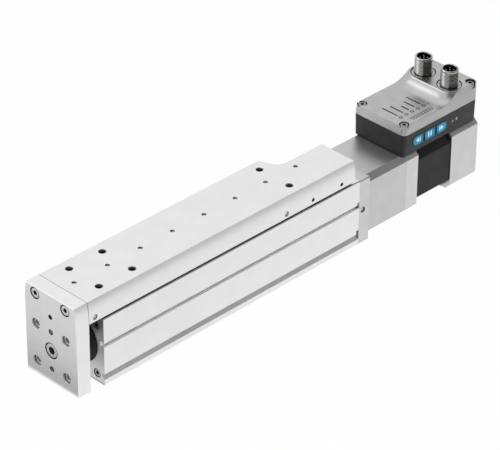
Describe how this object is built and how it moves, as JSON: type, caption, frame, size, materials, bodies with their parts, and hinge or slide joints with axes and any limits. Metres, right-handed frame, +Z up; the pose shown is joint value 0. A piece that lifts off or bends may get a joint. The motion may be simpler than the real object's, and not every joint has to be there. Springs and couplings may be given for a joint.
{
  "type": "electric mini slide",
  "caption": "Electric linear slide: a ball screw housing carries a long slide and end plate on a rail guide, driven by a motor with drive electronics",
  "frame": {"origin": "middle of the housing's underside, where the unit stands on its base", "axes": "X runs along the stroke towards the motor, the slide moves out towards -X; Y is across, with the keys on the -Y side; Z is up"},
  "size_m": [0.357, 0.0452, 0.0876],
  "materials": {
    "clear_anodised_alloy": "fine matt anodised aluminium",
    "motor_alloy": "machined aluminium",
    "cast_alloy": "blasted die casting",
    "screw_steel": "zinc-plated steel",
    "bearing_steel": "ground bearing steel",
    "plain_steel": "turned steel",
    "hard_chrome": "hard chrome, ground",
    "hub_alloy": "turned aluminium",
    "black_plastic": "moulded, finely textured",
    "slipper_plastic": "acetal",
    "grey_plastic": "moulded plug",
    "black_rubber": "matt rubber",
    "spider_rubber": "cast polyurethane",
    "bush_bronze": "sintered bronze",
    "contact_gold": "gold-plated brass",
    "stator_iron": "black-varnished laminations",
    "rotor_iron": "laminations and magnet",
    "magnet": "bonded magnet",
    "key_blue": "smooth blue",
    "board_green": "solder resist",
    "nickel": "nickel-plated brass"
  },
  "bodies": {
    "housing": {"ball_cages": "bearing_steel", "ball_rows": "bearing_steel", "bearing_outer_rings": "bearing_steel", "bearing_retainer": "plain_steel", "bracket_screws": "screw_steel", "carriage_screws": "screw_steel", "carriage_seals": "black_plastic", "circuit_board": "board_green", "cover_gasket": "black_rubber", "cover_screws": "screw_steel", "electronics_base": "black_plastic", "electronics_cover": "cast_alloy", "encoder_board": "board_green", "end_cap": "clear_anodised_alloy", "end_cap_plug": "grey_plastic", "end_cap_screws": "screw_steel", "front_cap": "clear_anodised_alloy", "front_cap_screws": "screw_steel", "guide_carriages": "bearing_steel", "housing_profile": "clear_anodised_alloy", "key_board": "board_green", "key_pad": "black_rubber", "motor_bearing_outer_rings": "bearing_steel", "motor_bracket": "motor_alloy", "motor_front_bell": "motor_alloy", "motor_rear_housing": "motor_alloy", "motor_screws": "screw_steel", "motor_stator": "stator_iron", "plug_contacts": "contact_gold", "plug_insulators": "black_plastic", "plug_nuts": "nickel", "plug_shells": "nickel", "rod_bush": "bush_bronze", "rod_wiper": "black_rubber", "stop_buffers": "black_rubber"},
    "slide": {"slide_body": "clear_anodised_alloy", "end_plate": "clear_anodised_alloy", "end_plate_screws": "screw_steel", "rod_screw": "screw_steel", "guide_rail": "bearing_steel", "rail_screws": "screw_steel", "side_plugs": "grey_plastic", "piston_rod": "hard_chrome", "ball_nut": "bearing_steel", "nut_slipper": "slipper_plastic", "magnet_ring": "magnet"},
    "spindle": {"spindle": "bearing_steel", "bearing_inner_rings": "bearing_steel", "bearing_locknut": "plain_steel", "coupling_hub_front": "hub_alloy", "coupling_spider": "spider_rubber", "coupling_hub_rear": "hub_alloy", "motor_shaft": "bearing_steel", "motor_rotor": "rotor_iron", "motor_bearing_inner_rings": "bearing_steel", "encoder_magnet": "magnet"},
    "key_left": {"key_left": "key_blue"},
    "key_middle": {"key_middle": "key_blue"},
    "key_right": {"key_right": "key_blue"}
  },
  "joints": [
    {"name": "slide_travel", "type": "slide", "parent": "housing", "child": "slide", "axis": [-1, 0, 0], "range_m": [0, 0.1]},
    {"name": "spindle_spin", "type": "hinge", "parent": "housing", "child": "spindle", "pos_m": [0, 0, 0.025], "axis": [1, 0, 0], "range_deg": [0, 3600]},
    {"name": "key_left_press", "type": "slide", "parent": "housing", "child": "key_left", "axis": [0, 1, 0], "range_m": [0, 0.0004], "stiffness_N_per_m": 200},
    {"name": "key_middle_press", "type": "slide", "parent": "housing", "child": "key_middle", "axis": [0, 1, 0], "range_m": [0, 0.0004], "stiffness_N_per_m": 200},
    {"name": "key_right_press", "type": "slide", "parent": "housing", "child": "key_right", "axis": [0, 1, 0], "range_m": [0, 0.0004], "stiffness_N_per_m": 200}
  ],
  "couplings": [
    {"joint": "spindle_spin", "follows": "slide_travel", "rad_per_m": 628.32}
  ]
}
